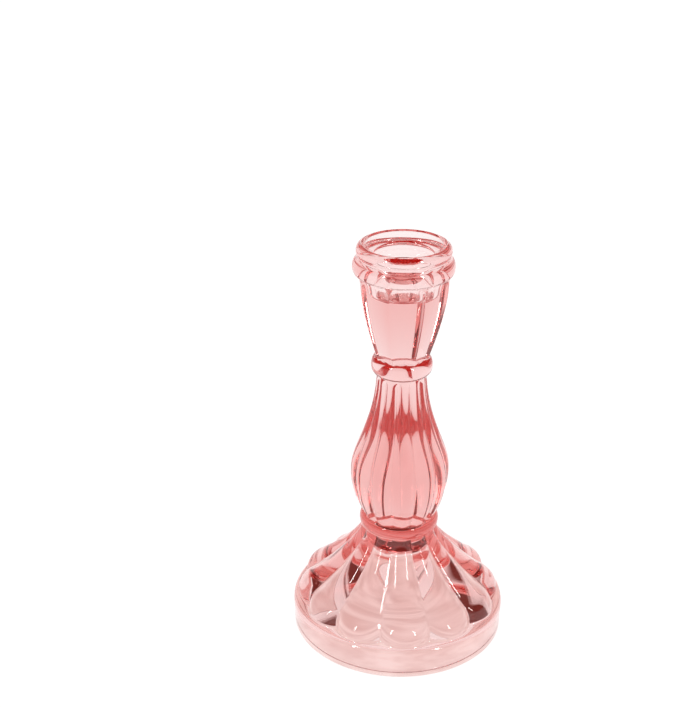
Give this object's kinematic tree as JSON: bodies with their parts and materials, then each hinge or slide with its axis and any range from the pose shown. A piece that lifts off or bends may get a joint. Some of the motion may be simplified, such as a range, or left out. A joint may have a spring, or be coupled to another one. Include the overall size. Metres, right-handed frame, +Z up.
{
  "type": "glass candlestick",
  "caption": "Transparent pressed glass candlestick: petalled foot, ribbed baluster stem and panelled cup with a round socket for a dinner candle.",
  "frame": {"origin": "middle of the ring face that stands on the table", "axes": "+Z up along the axis of the candlestick, -Y towards the middle of one cup panel and of one petal"},
  "size_m": [0.0892, 0.0892, 0.17],
  "materials": {
    "rose_glass": "clear rose glass, fire polished"
  },
  "bodies": {
    "root": {"foot": "rose_glass", "lower_ring": "rose_glass", "stem": "rose_glass", "upper_ring": "rose_glass", "candle_cup": "rose_glass"}
  },
  "joints": []
}
